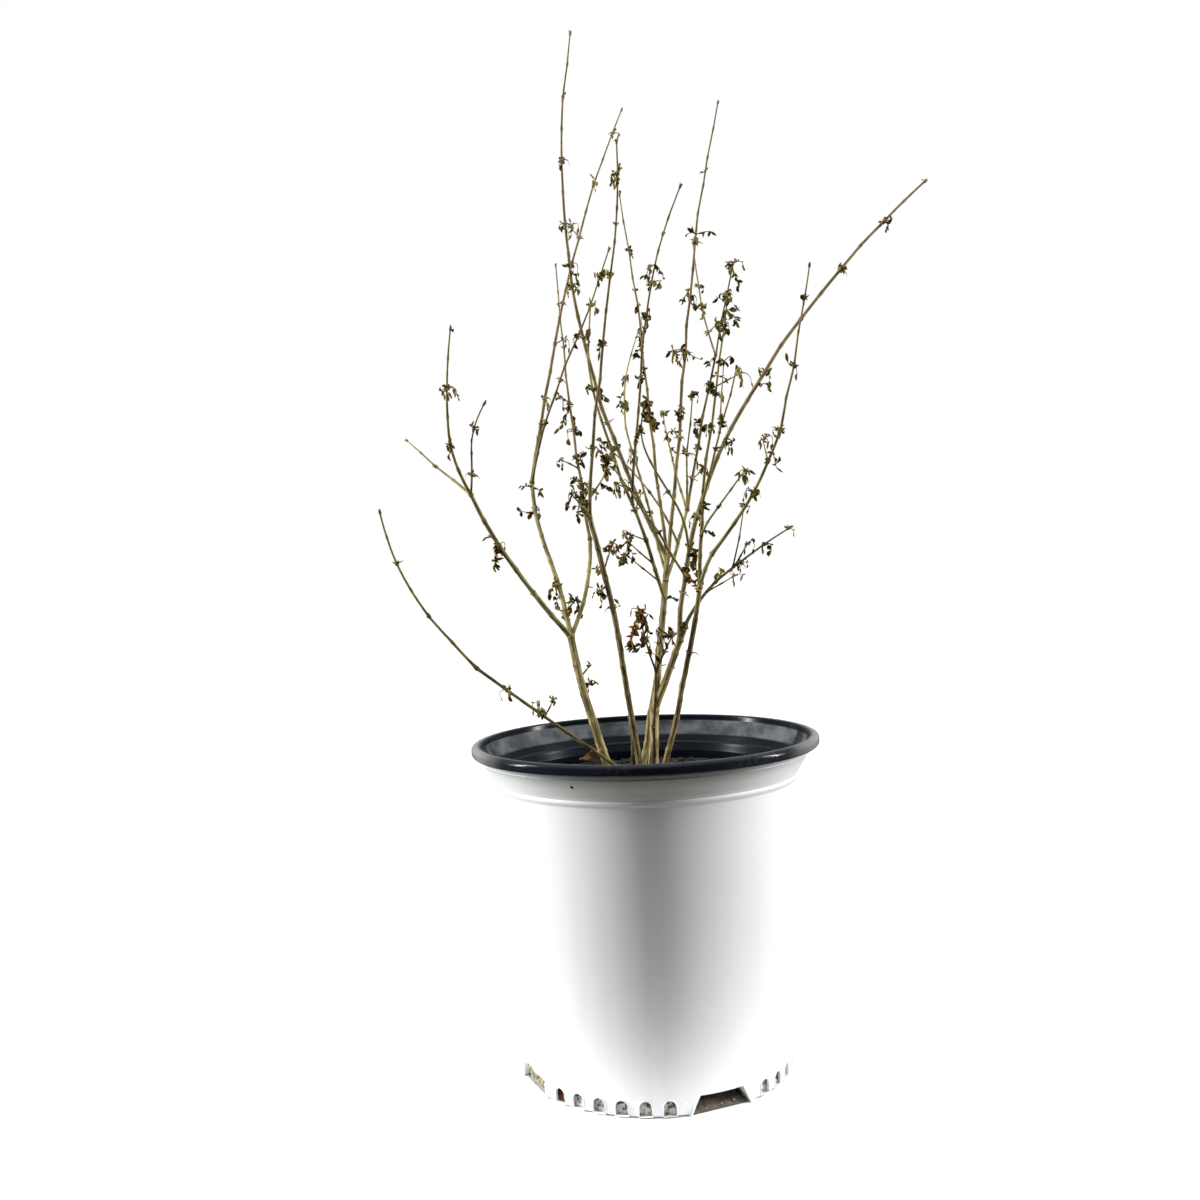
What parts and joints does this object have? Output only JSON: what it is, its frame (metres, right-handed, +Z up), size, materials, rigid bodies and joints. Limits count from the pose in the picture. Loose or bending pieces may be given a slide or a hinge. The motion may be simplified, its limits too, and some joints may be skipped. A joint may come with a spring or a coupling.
{
  "type": "potted lilac shrub",
  "caption": "Bare dormant lilac shrub with tufts of dried leaves and seed heads, in a round tapered white nursery pot with a rolled dark rim, filled with soil.",
  "frame": {"origin": "middle of the pot's flat underside, on the surface that it stands on", "axes": "+Z up along the pot's axis to the shoots, -Y the front that the picture shows, +X to the picture's right"},
  "size_m": [0.3907, 0.2472, 0.7401],
  "materials": {
    "pot_white": "satin white, slightly milky, with soft broad highlights",
    "pot_dark": "blue-black, satin gloss, with narrow highlights along the roll",
    "soil": "rough dark bark mix with pale specks",
    "dry_leaf": "matt, curled and brown",
    "cane_bark": "matt tan bark with fine lengthwise wrinkles and pale pores",
    "bough_bark": "matt olive-tan bark with swollen leaf joints",
    "shoot_bark": "matt grey-brown bark with swollen joints and dark dried tufts"
  },
  "bodies": {
    "root": {"pot_wall": "pot_white", "pot_rim": "pot_dark", "potting_soil": "soil", "dry_leaf": "dry_leaf", "arching_cane": "cane_bark", "left_cane": "cane_bark", "inner_cane": "cane_bark", "back_cane": "cane_bark", "front_cane": "cane_bark", "right_cane": "cane_bark", "old_stub": "cane_bark", "thin_dark_cane": "cane_bark", "left_outer_bough": "bough_bark", "left_middle_bough": "bough_bark", "left_inner_bough": "bough_bark", "front_left_bough": "bough_bark", "front_right_bough": "bough_bark", "right_middle_bough": "bough_bark", "right_spur": "bough_bark", "arching_shoot": "shoot_bark", "outer_high_shoot": "shoot_bark", "outer_low_shoot": "shoot_bark", "outer_inner_shoot": "shoot_bark", "middle_tall_shoot": "shoot_bark", "middle_short_shoot": "shoot_bark", "back_left_shoot": "shoot_bark", "inner_tall_shoot": "shoot_bark", "inner_front_twigs": "shoot_bark", "inner_side_twigs": "shoot_bark", "crossing_shoot": "shoot_bark", "crossing_high_shoot": "shoot_bark", "tallest_shoot": "shoot_bark", "back_tall_shoot": "shoot_bark", "back_short_shoot": "shoot_bark", "straight_tall_shoot": "shoot_bark", "outermost_shoot": "shoot_bark", "leaning_upper_shoot": "shoot_bark", "leaning_lower_shoot": "shoot_bark", "leaning_back_shoot": "shoot_bark", "fan_left_shoot": "shoot_bark", "fan_middle_shoot": "shoot_bark", "fan_right_shoot": "shoot_bark", "fan_back_shoot": "shoot_bark", "right_tall_shoot": "shoot_bark", "right_outer_shoot": "shoot_bark", "right_low_shoot": "shoot_bark", "right_front_shoot": "shoot_bark", "dark_side_shoot": "shoot_bark", "dead_tuft_twig": "shoot_bark", "dark_right_twig": "shoot_bark"}
  },
  "joints": []
}
